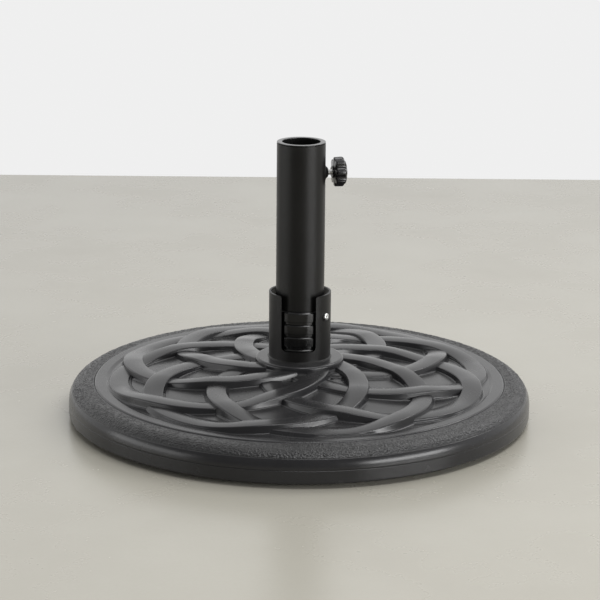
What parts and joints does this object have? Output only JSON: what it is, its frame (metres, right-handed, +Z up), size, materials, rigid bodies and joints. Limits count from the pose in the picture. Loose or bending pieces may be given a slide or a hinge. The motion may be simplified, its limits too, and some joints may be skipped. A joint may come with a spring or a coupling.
{
  "type": "parasol base",
  "caption": "Round weighted parasol base with a woven strap relief, a slotted steel cup on a plinth, a tubular stem and a side clamp screw with a star knob.",
  "frame": {"origin": "on the floor under the stem's axis, at the feet's lowest face", "axes": "+Z up along the stem, -Y towards the front slot of the cup, the clamp knob stands out 15 degrees from +X towards +Y"},
  "size_m": [0.5, 0.5, 0.301],
  "materials": {
    "charcoal_resin": "charcoal grey filled resin, semi-matt, with a pebbled band round the rim",
    "concrete": "cast concrete, rough",
    "black_plastic": "black moulded plastic, fine grain",
    "foot_rubber": "black rubber, matt",
    "zinc_steel": "bright zinc-plated steel",
    "black_steel": "black powder coat, satin, slightly uneven",
    "sleeve_plastic": "dark grey-brown moulded plastic, satin",
    "collar_plastic": "black moulded plastic, satin gloss with a pale worn top edge",
    "knob_plastic": "black moulded plastic, satin gloss",
    "knob_brass": "turned brass"
  },
  "bodies": {
    "base": {"base_shell": "charcoal_resin", "concrete_core": "concrete", "bottom_pan": "black_plastic", "feet": "foot_rubber", "pan_screws": "zinc_steel", "anchor_bolt": "zinc_steel", "anchor_plate": "zinc_steel", "anchor_washer": "zinc_steel", "spring_washer": "zinc_steel", "anchor_nut": "zinc_steel", "cup_sleeve": "black_steel", "cup_floor": "black_steel", "ribbed_sleeve": "sleeve_plastic", "stem_tube": "black_steel", "stem_plug": "black_plastic", "mouth_collar": "collar_plastic", "stem_screws": "zinc_steel", "weld_nut": "black_steel"},
    "clamp_pad": {"pressure_pad": "zinc_steel"},
    "knob": {"clamp_stud": "zinc_steel", "knob_insert": "knob_brass", "knob_body": "knob_plastic"}
  },
  "joints": [
    {"name": "pad_slide", "type": "slide", "parent": "base", "child": "clamp_pad", "axis": [-0.9659, -0.2588, 0], "range_m": [-0.00042, 0.00445]},
    {"name": "knob_turn", "type": "hinge", "parent": "clamp_pad", "child": "knob", "pos_m": [0, 0, 0.2664], "axis": [-0.9659, -0.2588, 0], "range_deg": [-150, 1600]}
  ],
  "couplings": [
    {"joint": "pad_slide", "follows": "knob_turn", "m_per_rad": 0.00015915}
  ]
}
